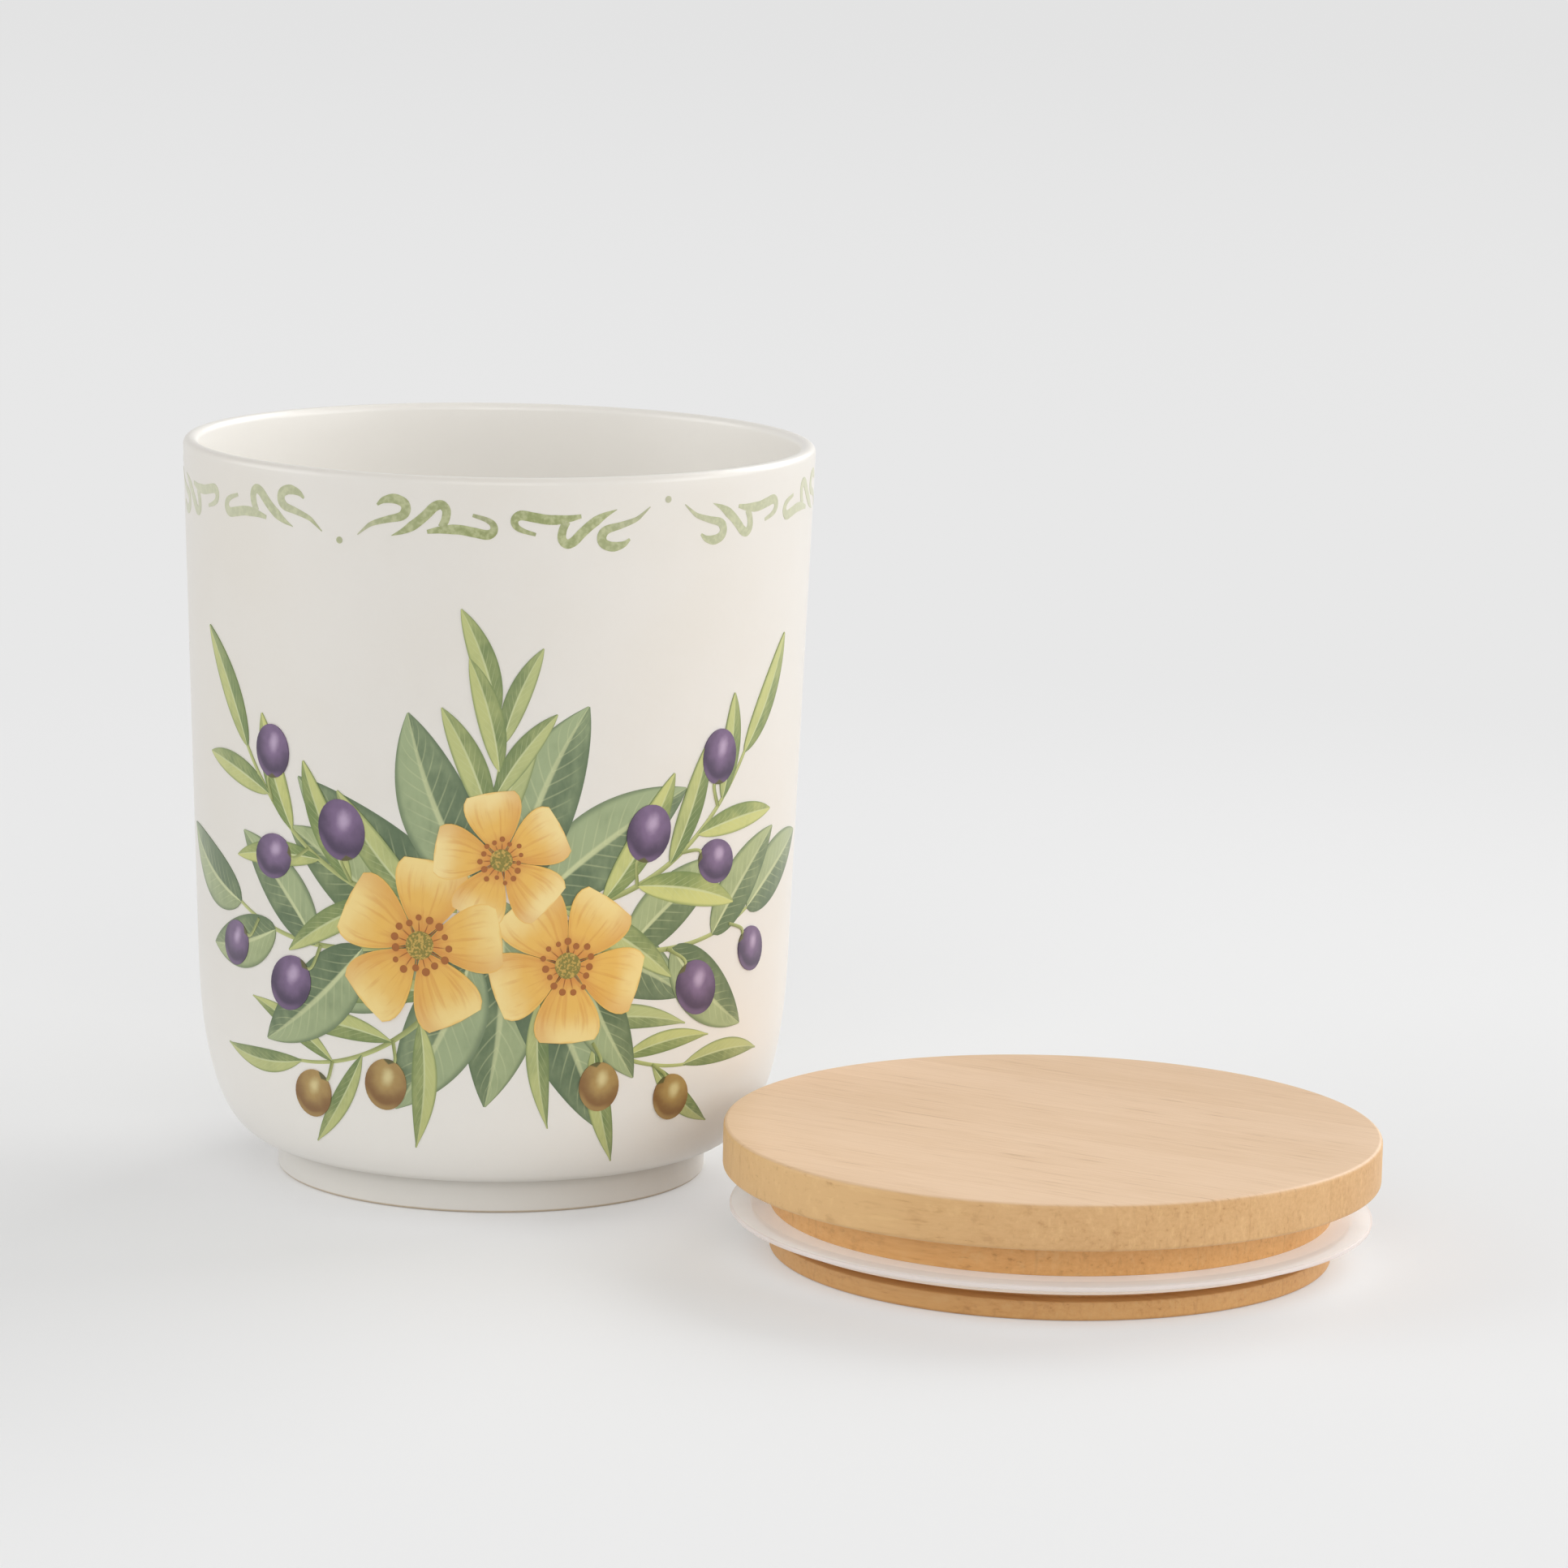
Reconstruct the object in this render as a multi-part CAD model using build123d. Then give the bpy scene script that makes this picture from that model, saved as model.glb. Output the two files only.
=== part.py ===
"""Ceramic storage jar with a bamboo lid and a seal ring, in millimetres.

The jar stands upright on its foot ring, with its axis on +Z and the origin at the centre of
the foot. The lid lies beside the jar on the same surface, plug down, as it does when it has
been taken off. Every piece is a body of revolution, so each is one outline spun round an axis.
"""
import os
from math import cos, radians, sin

from build123d import *

# Jar: outer shape
jar_height = 120.0
rim_radius = 51.0
wall = 4.0
lip_wall = 2.4
heel_top_radius = 48.2
heel_top_height = 36.0
foot_radius = 35.0
foot_height = 5.5
foot_step = 0.5
foot_edge_round = 0.6
heel_fullness_share = 0.647

# Jar: hollow and underside
mouth_depth = 14.0
floor_thickness = 6.0
foot_ring_width = 5.0
foot_recess = 2.5
recess_round = 1.2

# Lid: two bamboo boards, one on the other
lid_overhang = 0.5
board_thickness = 7.2
board_top_round = 0.7
board_bottom_chamfer = 0.6
plug_clearance = 4.6
plug_height = 12.6
plug_edge_round = 0.6

# Seal: a silicone ring held in a groove round the plug, with a thin fin at its upper side
plug_lip_height = 3.0
groove_height = 3.95
groove_depth = 3.0
seal_thickness = 2.25
seal_body_reach = 2.7
seal_fin_thickness = 0.8
seal_overlap = 1.7
seal_core_clearance = 0.1
seal_edge_round = 0.3

# Where the lid lies: beside the jar, on the same surface
lid_side_gap = 0.6
lid_bearing_degrees = -31.0

# How far cuts run past what they cut
overrun = 1.0

mouth_radius = rim_radius - lip_wall
board_radius = rim_radius + lid_overhang
plug_radius = mouth_radius - plug_clearance
groove_radius = plug_radius - groove_depth
groove_top = plug_lip_height + groove_height
seal_inner_radius = groove_radius + seal_core_clearance
seal_body_radius = plug_radius + seal_body_reach
seal_outer_radius = mouth_radius + seal_overlap
lid_distance = rim_radius + board_radius + lid_side_gap
lid_x = lid_distance * cos(radians(lid_bearing_degrees))
lid_y = lid_distance * sin(radians(lid_bearing_degrees))


def spun(outline):
    """Solid made by spinning a closed outline, drawn in the XZ plane, round the Z axis."""
    return revolve(make_face(outline), Axis.Z)


def upright_disc(radius, bottom, top):
    """Solid disc on the Z axis, from one height to another."""
    disc = Cylinder(radius, top - bottom, align=(Align.CENTER, Align.CENTER, Align.MIN))
    return disc.translate((0, 0, bottom))


def top_edges(shape):
    """Edges of a shape that lie highest."""
    return shape.edges().filter_by(GeomType.CIRCLE).group_by(Axis.Z)[-1]


def bottom_edges(shape):
    """Edges of a shape that lie lowest."""
    return shape.edges().filter_by(GeomType.CIRCLE).group_by(Axis.Z)[0]


def heel_curve(low_radius, low_height, high_radius, slope):
    """Curve from flat at the foot to the slope of the wall, out along a share of each side."""
    rise = heel_top_height - low_height
    run = high_radius - low_radius
    reach = heel_fullness_share * rise
    return Bezier(
        (low_radius, 0, low_height),
        (low_radius + heel_fullness_share * run, 0, low_height),
        (high_radius - slope * reach, 0, heel_top_height - reach),
        (high_radius, 0, heel_top_height),
    )


def jar_section():
    """Closed half section of the jar, its underside still flat."""
    lip_radius = lip_wall / 2
    lip_base = jar_height - lip_radius
    lip_middle = rim_radius - lip_radius
    outer_slope = (rim_radius - heel_top_radius) / (lip_base - heel_top_height)
    heel_foot = foot_radius + foot_step
    mouth_bottom = jar_height - mouth_depth
    inner_top_radius = heel_top_radius - wall
    inner_slope = (mouth_radius - inner_top_radius) / (mouth_bottom - heel_top_height)
    floor_top = foot_recess + floor_thickness
    floor_radius = heel_foot - wall
    return [
        Line((0, 0, 0), (foot_radius, 0, 0)),
        Line((foot_radius, 0, 0), (foot_radius, 0, foot_height)),
        Line((foot_radius, 0, foot_height), (heel_foot, 0, foot_height)),
        heel_curve(heel_foot, foot_height, heel_top_radius, outer_slope),
        Line((heel_top_radius, 0, heel_top_height), (rim_radius, 0, lip_base)),
        ThreePointArc((rim_radius, 0, lip_base), (lip_middle, 0, jar_height), (mouth_radius, 0, lip_base)),
        Line((mouth_radius, 0, lip_base), (mouth_radius, 0, mouth_bottom)),
        Line((mouth_radius, 0, mouth_bottom), (inner_top_radius, 0, heel_top_height)),
        heel_curve(floor_radius, floor_top, inner_top_radius, inner_slope),
        Line((floor_radius, 0, floor_top), (0, 0, floor_top)),
        Line((0, 0, floor_top), (0, 0, 0)),
    ]


def jar_body():
    """The jar, with a shallow recess inside its foot ring."""
    recess = upright_disc(foot_radius - foot_ring_width, -overrun, foot_recess)
    recess = fillet(top_edges(recess), recess_round)
    body = spun(jar_section()) - recess
    return fillet(bottom_edges(body), foot_edge_round)


def lid_board():
    """The upper board of the lid, which rests on the rim when the jar is closed."""
    board = upright_disc(board_radius, plug_height, plug_height + board_thickness)
    board = fillet(top_edges(board), board_top_round)
    return chamfer(bottom_edges(board), board_bottom_chamfer)


def lid_plug():
    """The lower board of the lid, which enters the mouth and carries the seal in a groove."""
    outline = Polyline(
        (0, 0, 0),
        (plug_radius, 0, 0),
        (plug_radius, 0, plug_lip_height),
        (groove_radius, 0, plug_lip_height),
        (groove_radius, 0, groove_top),
        (plug_radius, 0, groove_top),
        (plug_radius, 0, plug_height),
        (0, 0, plug_height),
        close=True,
    )
    plug = spun(outline)
    return fillet(bottom_edges(plug), plug_edge_round)


def seal_ring():
    """Ring against the groove's upper side, with a fin that reaches past the mouth."""
    outline = Polyline(
        (seal_inner_radius, 0, groove_top - seal_thickness),
        (seal_body_radius, 0, groove_top - seal_thickness),
        (seal_body_radius, 0, groove_top - seal_fin_thickness),
        (seal_outer_radius, 0, groove_top - seal_fin_thickness),
        (seal_outer_radius, 0, groove_top),
        (seal_inner_radius, 0, groove_top),
        close=True,
    )
    ring = spun(outline)
    rims = ring.edges().filter_by(GeomType.CIRCLE)
    outer_rims = rims.filter_by(lambda edge: edge.radius > plug_radius)
    return fillet(outer_rims, seal_edge_round)


def beside_jar(piece):
    """A piece of the lid, moved from the jar's axis to where the lid lies."""
    return piece.translate((lid_x, lid_y, 0))


def main():
    """Write every piece to its own file."""
    pieces = {
        "jar_body": jar_body(),
        "lid_board": beside_jar(lid_board()),
        "lid_plug": beside_jar(lid_plug()),
        "seal_ring": beside_jar(seal_ring()),
    }
    os.makedirs("parts", exist_ok=True)
    for name, piece in pieces.items():
        export_step(piece, f"parts/{name}.step")
        box = piece.bounding_box()
        print(name, "volume", round(piece.volume), "low", box.min, "high", box.max)


main()
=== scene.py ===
# %% [markdown]
# # A glazed storage jar with its bamboo lid off
#
# The object is a straight, slightly flared jar of glazed ceramic, a lid of two bamboo boards and
# a silicone ring in the groove of the lower board. The lid has been taken off and lies beside the
# jar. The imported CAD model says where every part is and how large. This lesson gives each part
# its finished surface, and stands it in a small studio.

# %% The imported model
import random
from contextlib import contextmanager
from functools import partialmethod
from itertools import cycle, pairwise
from math import atan2, copysign, cos, hypot, pi, radians, sin

import bmesh
import bpy
import numpy as np
from mathutils import Matrix, Vector


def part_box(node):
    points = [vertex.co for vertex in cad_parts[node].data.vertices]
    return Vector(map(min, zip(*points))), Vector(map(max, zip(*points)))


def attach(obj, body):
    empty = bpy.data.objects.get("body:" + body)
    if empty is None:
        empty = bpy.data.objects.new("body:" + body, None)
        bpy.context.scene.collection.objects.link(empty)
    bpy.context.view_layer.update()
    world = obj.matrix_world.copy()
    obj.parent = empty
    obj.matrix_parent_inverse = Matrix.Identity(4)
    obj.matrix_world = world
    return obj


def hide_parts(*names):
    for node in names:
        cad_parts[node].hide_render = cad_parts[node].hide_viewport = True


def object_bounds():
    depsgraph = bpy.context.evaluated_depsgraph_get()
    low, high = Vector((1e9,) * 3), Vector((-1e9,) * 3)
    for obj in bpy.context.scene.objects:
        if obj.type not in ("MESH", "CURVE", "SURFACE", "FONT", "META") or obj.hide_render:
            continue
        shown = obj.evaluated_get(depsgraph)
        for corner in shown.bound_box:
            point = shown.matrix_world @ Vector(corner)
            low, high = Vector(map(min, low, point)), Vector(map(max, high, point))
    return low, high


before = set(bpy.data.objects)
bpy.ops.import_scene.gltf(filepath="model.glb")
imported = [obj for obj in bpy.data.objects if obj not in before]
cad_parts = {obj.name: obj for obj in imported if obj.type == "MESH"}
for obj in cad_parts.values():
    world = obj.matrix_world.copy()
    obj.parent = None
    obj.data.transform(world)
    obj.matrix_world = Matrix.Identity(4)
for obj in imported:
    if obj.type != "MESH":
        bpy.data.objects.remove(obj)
cad_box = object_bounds()
mm = 0.001
print("packed nodes:", sorted(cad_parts))
print("packed size in mm:", [round(side / mm, 1) for side in cad_box[1] - cad_box[0]])

# %% [markdown]
# ## The camera
#
# The view is a calm product view: a long lens about a metre away, a little above the rim. A long
# lens keeps the sides of the jar nearly parallel. The camera turns right, then tips down, then
# leans a little, so its rotation is those three turns in that order. Blender's operators act on
# all that is selected, so one helper clears the selection, adds an object and names it.

# %% Camera
image_width = 1932
sensor_width = 36.0
focal_length_in_pixels = 7657.4
camera_place = Vector((13.96, -999.0, 241.6)) * mm
camera_right_turn = radians(1.894)
camera_down_tilt = radians(10.076)
camera_lean = radians(1.183)
nearest_seen = 10 * mm
farthest_seen = 50.0


def added(add, name, **settings):
    """The new object of one of Blender's add operators, with nothing else selected."""
    bpy.ops.object.select_all(action="DESELECT")
    add(**settings)
    bpy.context.object.name = name
    return bpy.context.object


camera = added(bpy.ops.object.camera_add, "camera", location=camera_place)
camera.rotation_euler = (
    Matrix.Rotation(-camera_right_turn, 3, "Z")
    @ Matrix.Rotation(pi / 2 - camera_down_tilt, 3, "X")
    @ Matrix.Rotation(camera_lean, 3, "Z")
).to_euler()
camera.data.sensor_width = sensor_width
camera.data.lens = sensor_width * focal_length_in_pixels / image_width
camera.data.clip_start = nearest_seen
camera.data.clip_end = farthest_seen
bpy.context.scene.camera = camera
print("lens in mm:", round(camera.data.lens, 1))

# %% [markdown]
# ## Outlines for the lathe
#
# A potter turns a jar and a joiner turns a lid, and in Blender both come from one outline that is
# spun round an upright axis. An outline is a list of points, each with a radius and a height.
# Straight stretches, arcs and one gentle curve are enough for every part here.

# %% Outline helpers
same_place = 0.002 * mm


def straight(start, end, steps=1):
    """Points from start to end, evenly spaced."""
    return [tuple(point) for point in np.linspace(start, end, steps + 1)]


def arc(middle, radius, start_degrees, end_degrees, steps=6):
    """Points on an arc, its angles counted from outwards through upwards."""
    turns = np.radians(np.linspace(start_degrees, end_degrees, steps + 1))
    return [(middle[0] + radius * cos(turn), middle[1] + radius * sin(turn)) for turn in turns]


def eased(corner, radius, start_degrees, end_degrees, steps=6):
    """A quarter arc that rounds off a corner."""
    facing = radians((start_degrees + end_degrees) / 2)
    middle = (corner[0] - copysign(radius, cos(facing)), corner[1] - copysign(radius, sin(facing)))
    return arc(middle, radius, start_degrees, end_degrees, steps)


def bezier(corners, shares):
    """Points of a cubic curve at the given shares of its length, one row each."""
    first, second, third, last = np.array(corners, float)
    share = np.array(shares, float).reshape(-1, 1)
    rest = 1 - share
    return rest**3 * first + 3 * rest**2 * share * second + 3 * rest * share**2 * third + share**3 * last


def outline(*stretches):
    """The stretches one after the other, without the points that two of them share."""
    points = [stretches[0][0]]
    for point in sum(stretches, []):
        if hypot(point[0] - points[-1][0], point[1] - points[-1][1]) > same_place:
            points.append(tuple(point))
    return points


print("an arc of", len(arc((0, 0), mm, 0, 90)), "points rounds an edge")

# %% [markdown]
# ## The lathe
#
# By hand this is quick work: merge a plane into one vertex, extrude that vertex from point to
# point, and spin the line through a full turn. The first and last lines of the spin meet, and the
# ends on the axis pile up, so doubles are merged before the normals are turned outwards. Edges
# sharper than a set angle stay crisp under smooth shading. Work in edit mode stands under one
# with, which comes back to object mode at its end.

# %% Lathe
spin_steps = 256
crisp_edge = radians(38)


@contextmanager
def edit_mode():
    """Edit mode for the lines under a with."""
    bpy.ops.object.mode_set(mode="EDIT")
    yield
    bpy.ops.object.mode_set(mode="OBJECT")


def turned(name, points, axis=(0.0, 0.0)):
    """A piece made by spinning an outline round an upright axis."""
    piece = added(bpy.ops.mesh.primitive_plane_add, name, size=mm)
    with edit_mode():
        bpy.ops.mesh.merge(type="CENTER")
        bpy.ops.transform.translate(value=(axis[0] + points[0][0], axis[1], points[0][1]))
        for before, after in pairwise(points):
            step = (after[0] - before[0], 0, after[1] - before[1])
            bpy.ops.mesh.extrude_vertices_move(TRANSFORM_OT_translate={"value": step})
        bpy.ops.mesh.select_all(action="SELECT")
        bpy.ops.mesh.spin(steps=spin_steps, angle=2 * pi, center=(*axis, 0), axis=(0, 0, 1))
        bpy.ops.mesh.select_all(action="SELECT")
        bpy.ops.mesh.remove_doubles(threshold=same_place)
        bpy.ops.mesh.normals_make_consistent(inside=False)
    bpy.ops.object.shade_smooth_by_angle(angle=crisp_edge)
    print(name, "has", len(piece.data.polygons), "faces")
    return piece


# %% [markdown]
# ## The jar
#
# The real jar is pressed in a mould, dipped in glaze and stood on its foot ring in the kiln. Its
# wall flares by a few millimetres, the heel curves in to the foot, and the lip is a full round.
# Glaze softens every inner corner, so the corner over the foot has a fillet that a drawing would
# leave out.

# %% Jar
jar_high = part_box("jar_body")[1]
jar_height = jar_high.z
rim_radius = jar_high.x
wall = 4.0 * mm
lip_wall = 2.4 * mm
heel_top = (48.2 * mm, 36.0 * mm)
foot_radius = 35.0 * mm
foot_height = 5.5 * mm
foot_step = 0.5 * mm
foot_edge_round = 0.6 * mm
glaze_fillet = 0.45 * mm
heel_fullness = 0.647
mouth_depth = 14.0 * mm
floor_thickness = 6.0 * mm
foot_ring_width = 5.0 * mm
foot_recess = 2.5 * mm
recess_round = 1.2 * mm


def heel(low, high, beyond, steps=28):
    """Points of the curve from flat at the foot to the slope of the wall from high to beyond."""
    slope = (beyond[0] - high[0]) / (beyond[1] - high[1])
    reach = heel_fullness * (high[1] - low[1])
    flat_end = (low[0] + heel_fullness * (high[0] - low[0]), low[1])
    steep_end = (high[0] - slope * reach, high[1] - reach)
    corners = (low, flat_end, steep_end, high)
    return [tuple(point) for point in bezier(corners, np.linspace(0, 1, steps + 1))]


def jar_outside():
    """The outline from the foot up to where the lip begins."""
    lip_base = (rim_radius, jar_height - lip_wall / 2)
    return outline(
        eased((foot_radius, foot_height), glaze_fillet, 180, 90),
        heel((foot_radius + foot_step, foot_height), heel_top, lip_base),
        straight(heel_top, lip_base, steps=40),
    )


def jar_inside():
    """The outline from the lip's inner edge down to the middle of the floor."""
    mouth_radius = rim_radius - lip_wall
    mouth_bottom = (mouth_radius, jar_height - mouth_depth)
    inner_top = (heel_top[0] - wall, heel_top[1])
    floor_edge = (foot_radius + foot_step - wall, foot_recess + floor_thickness)
    return outline(
        straight((mouth_radius, jar_height - lip_wall / 2), mouth_bottom, steps=4),
        straight(mouth_bottom, inner_top, steps=24),
        heel(floor_edge, inner_top, mouth_bottom)[::-1],
        straight(floor_edge, (0, floor_edge[1]), steps=8),
    )


def jar_foot():
    """The outline from the middle of the underside round the foot ring."""
    ring_inside = foot_radius - foot_ring_width
    return outline(
        straight((0, foot_recess), (ring_inside - recess_round, foot_recess), steps=6),
        eased((ring_inside, foot_recess), recess_round, 90, 0),
        eased((ring_inside, 0), foot_edge_round, 180, 270),
        eased((foot_radius, 0), foot_edge_round, 270, 360),
    )


lip_round = lip_wall / 2
lip = arc((rim_radius - lip_round, jar_height - lip_round), lip_round, 0, 180, steps=14)
outside = jar_outside()
jar = turned("glazed_jar", outline(jar_foot(), outside, lip, jar_inside()))


def wall_radius(height):
    """The radius of the jar's outside at a height."""
    radii, heights = np.transpose(outside)
    return np.interp(height, heights, radii)


def mark_inside(piece):
    """Note on each vertex how far through the wall it stands, from 0 outside to 1 inside."""
    inside = piece.data.attributes.new("Inside", "FLOAT", "POINT")
    for vertex, share in zip(piece.data.vertices, inside.data):
        across = wall_radius(vertex.co.z) - hypot(vertex.co.x, vertex.co.y)
        above_floor = vertex.co.z > foot_recess + floor_thickness - same_place
        share.value = min(max(across / lip_wall, 0), 1) if above_floor else 0


mark_inside(jar)

# %% [markdown]
# ## The lid and its seal
#
# The lid is two round boards glued flat on each other. The upper one rests on the rim. The lower
# one drops into the mouth, and a groove turned round it holds the silicone ring, whose thin fin
# bends against the jar's wall. A joiner eases every edge with paper so that it does not splinter,
# and those small rounds catch the light.

# %% Lid
board_low, board_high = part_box("lid_board")
plug_low, plug_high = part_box("lid_plug")
ring_low, ring_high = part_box("seal_ring")
lid_axis = tuple(((board_low + board_high) / 2)[:2])
board_radius = (board_high.x - board_low.x) / 2
plug_radius = (plug_high.x - plug_low.x) / 2
ring_radius = (ring_high.x - ring_low.x) / 2
board_round = 0.7 * mm
eased_edge = 0.25 * mm
plug_round = 0.6 * mm
groove_low = 3.0 * mm
groove_depth = 3.0 * mm
ring_gap = 0.1 * mm
ring_reach = 2.7 * mm
fin_thickness = 0.8 * mm
fin_round = 0.3 * mm
body_round = 0.5 * mm
ring_inner_round = 0.2 * mm


def board_outline():
    """The upper board, from the middle of its underside to the middle of its top."""
    low, high = board_low.z, board_high.z
    flat_radius = board_radius - board_round
    return outline(
        straight((0, low), (flat_radius, low), steps=8),
        eased((board_radius, low), board_round, 270, 360, steps=5),
        eased((board_radius, high), board_round, 0, 90, steps=7),
        straight((flat_radius, high), (0, high), steps=12),
    )


def plug_outline():
    """The lower board with its groove, from the middle of its underside to the middle of its top."""
    groove_radius = plug_radius - groove_depth
    groove_high = ring_high.z
    return outline(
        straight((0, 0), (plug_radius - plug_round, 0), steps=8),
        eased((plug_radius, 0), plug_round, 270, 360, steps=5),
        eased((plug_radius, groove_low), eased_edge, 0, 90, steps=3),
        straight((groove_radius, groove_low), (groove_radius, groove_high), steps=3),
        eased((plug_radius, groove_high), eased_edge, 270, 360, steps=3),
        straight((plug_radius, plug_high.z), (0, plug_high.z), steps=8),
    )


def ring_outline():
    """The closed section of the silicone ring: a body in the groove and a thin fin round it."""
    inner = plug_radius - groove_depth + ring_gap
    body = plug_radius + ring_reach
    low, high = ring_low.z, ring_high.z
    fin_low = high - fin_thickness
    section = outline(
        eased((body, low), body_round, 270, 360),
        eased((body, fin_low), fin_round, 180, 90, steps=4),
        eased((ring_radius, fin_low), fin_round, 270, 360, steps=4),
        eased((ring_radius, high), fin_round, 0, 90, steps=4),
        straight((body, high), (plug_radius, high), steps=2),
        eased((inner, high), ring_inner_round, 90, 180, steps=3),
        eased((inner, low), ring_inner_round, 180, 270, steps=3),
    )
    return section + section[:1]


board = turned("bamboo_top", board_outline(), lid_axis)
plug = turned("bamboo_stopper", plug_outline(), lid_axis)
ring = turned("silicone_seal", ring_outline(), lid_axis)

# %% [markdown]
# ## Flat shapes for the print
#
# The jar's decoration is a ceramic transfer: shapes printed flat on a thin film, which is slid on
# to the glazed wall and fired into it. The lesson goes the same way. A few shapes are drawn flat
# on the table in edit mode, copied into a garland, and the finished sheet is wrapped on the jar.
# The motifs are general ones: five-petalled flowers, leaves, round berries and hips.

# %% Selecting by place
def select_where(piece, test):
    """In edit mode, select exactly the vertices whose place passes a test."""
    sheet = bmesh.from_edit_mesh(piece.data)
    for vertex in sheet.verts:
        vertex.select = bool(test(vertex.co))
    sheet.select_flush_mode()
    bmesh.update_edit_mesh(piece.data)


def finished_unit(piece):
    """Name a flat unit's map and hide it: only its copies are shown."""
    piece.data.uv_layers[0].name = "Share"
    piece.hide_render = True
    return piece


print("units are drawn one metre long and scaled when they are set out")

# %% [markdown]
# A leaf is a grid whose cross rows are narrowed one after the other to the leaf's width, and
# whose middle is bowed a little. The grid's own UV map then tells the shader how far along and
# how far across the leaf it is, which is what veins need.

# %% Leaves
same_row = 1e-4


def grid_unit(name, rows, columns):
    """A flat grid one unit long and wide that starts at the origin and runs along X."""
    settings = {"x_subdivisions": rows, "y_subdivisions": columns, "size": 1}
    grid = added(bpy.ops.mesh.primitive_grid_add, name, **settings)
    with edit_mode():
        bpy.ops.transform.translate(value=(0.5, 0, 0))
    return finished_unit(grid)


def leaf_width(share, widest, blunt, sharp):
    """The width of a leaf at a share of its length, by the powers of its stalk end and its tip."""
    top = (blunt / (blunt + sharp)) ** blunt * (sharp / (blunt + sharp)) ** sharp
    return widest * (share**blunt * (1 - share) ** sharp / top)


def leaf_unit(name, rows, columns, widest, blunt, sharp, bow=0.0, least=0.012):
    """A flat leaf from its stalk at the origin to its tip one unit along X."""
    leaf = grid_unit(name, rows, columns)
    with edit_mode():
        places = sorted({round(vertex.co.x, 5) for vertex in bmesh.from_edit_mesh(leaf.data).verts})
        for place in places:
            select_where(leaf, lambda co: abs(co.x - place) < same_row)
            width = max(leaf_width(min(max(place, 0), 1), widest, blunt, sharp), least)
            bpy.ops.transform.resize(value=(1, width, 1), center_override=(place, 0, 0))
            bpy.ops.transform.translate(value=(0, bow * 4 * place * (1 - place), 0))
    return leaf


broad_leaf = leaf_unit("broad_leaf", 30, 12, widest=0.40, blunt=0.62, sharp=0.85, bow=0.05)
narrow_leaf = leaf_unit("narrow_leaf", 24, 8, widest=0.23, blunt=0.70, sharp=0.80, bow=-0.04)
long_leaf = leaf_unit("long_leaf", 24, 8, widest=0.19, blunt=0.85, sharp=1.05, bow=0.06)
print("a broad leaf has", len(broad_leaf.data.polygons), "faces")

# %% [markdown]
# A petal is the same kind of grid, broad near its outer end, with a shallow notch. Berries, hips
# and the dots of the border are discs: a circle filled and inset a few times, so that it has
# enough faces to follow the round wall.

# %% Petals, discs and strips
notches = ((0.99, 0.035), (0.9, 0.02))
notch_half_width = 0.1
strip_rows = 40


def petal_unit():
    """A flat petal from its narrow foot at the origin to its notched end."""
    petal = leaf_unit("petal", 12, 10, widest=0.86, blunt=0.95, sharp=0.34, least=0.16)
    with edit_mode():
        for reach, notch in notches:
            select_where(petal, lambda co: co.x > reach and abs(co.y) < notch_half_width)
            bpy.ops.transform.translate(value=(-notch, 0, 0))
    return petal


def disc_unit(sides, insets):
    """A flat disc one unit across, inset so that it can bend."""
    settings = {"vertices": sides, "radius": 0.5, "fill_type": "NGON"}
    disc = added(bpy.ops.mesh.primitive_circle_add, "disc", **settings)
    with edit_mode():
        for _ in range(insets):
            bpy.ops.mesh.inset(thickness=0.5 / (insets + 1))
    for corner in disc.data.loops:
        place = disc.data.vertices[corner.vertex_index].co
        disc.data.uv_layers[0].data[corner.index].uv = (place.x + 0.5, place.y + 0.5)
    return finished_unit(disc)


petal = petal_unit()
disc = disc_unit(sides=32, insets=3)
strip = grid_unit("strip", strip_rows, 2)
print("a disc has", len(disc.data.polygons), "faces and a strip", len(strip.data.polygons))

# %% [markdown]
# ## Setting out
#
# The flat artwork stands in front of the jar: X runs round the wall, Z up it, and the depth of a
# shape on the sheet is its layer. Every copy has its own mesh and carries its tint, so that two
# leaves are never quite alike. Layers are about a hundredth of a millimetre apart: enough to keep
# a petal over a leaf, and too thin to see from the side.

# %% Setting out helpers
print_radius = 50.0 * mm
lowest_layer = 0.02 * mm
layer_step = 0.009 * mm
drawn = {}


def place_of(mesh):
    """The vertices of a mesh as rows of numbers."""
    places = np.empty(len(mesh.vertices) * 3, np.float32)
    mesh.vertices.foreach_get("co", places)
    return places.reshape(-1, 3).astype(float)


def set_place(mesh, places):
    """Write rows of numbers back to the vertices of a mesh."""
    mesh.vertices.foreach_set("co", places.astype(np.float32).ravel())
    mesh.update()


def copy_of(unit, group, tint=0.0, other_tint=0.0):
    """A copy of a flat unit with its own mesh and its tints, noted under its group."""
    part = unit.copy()
    part.data = unit.data.copy()
    part.hide_render = False
    bpy.context.scene.collection.objects.link(part)
    tints = part.data.attributes.new("Tint", "FLOAT_VECTOR", "POINT")
    tints.data.foreach_set("vector", np.tile((tint, other_tint, 0.0), len(part.data.vertices)))
    drawn.setdefault(group, []).append(part)
    return part


def lay(part, across, up, layer):
    """Put the vertices of a part on the artwork, as deep as its layer."""
    depth = np.full(len(across), -lowest_layer - layer * layer_step)
    set_place(part.data, np.stack([across, depth, up], 1))


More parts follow.
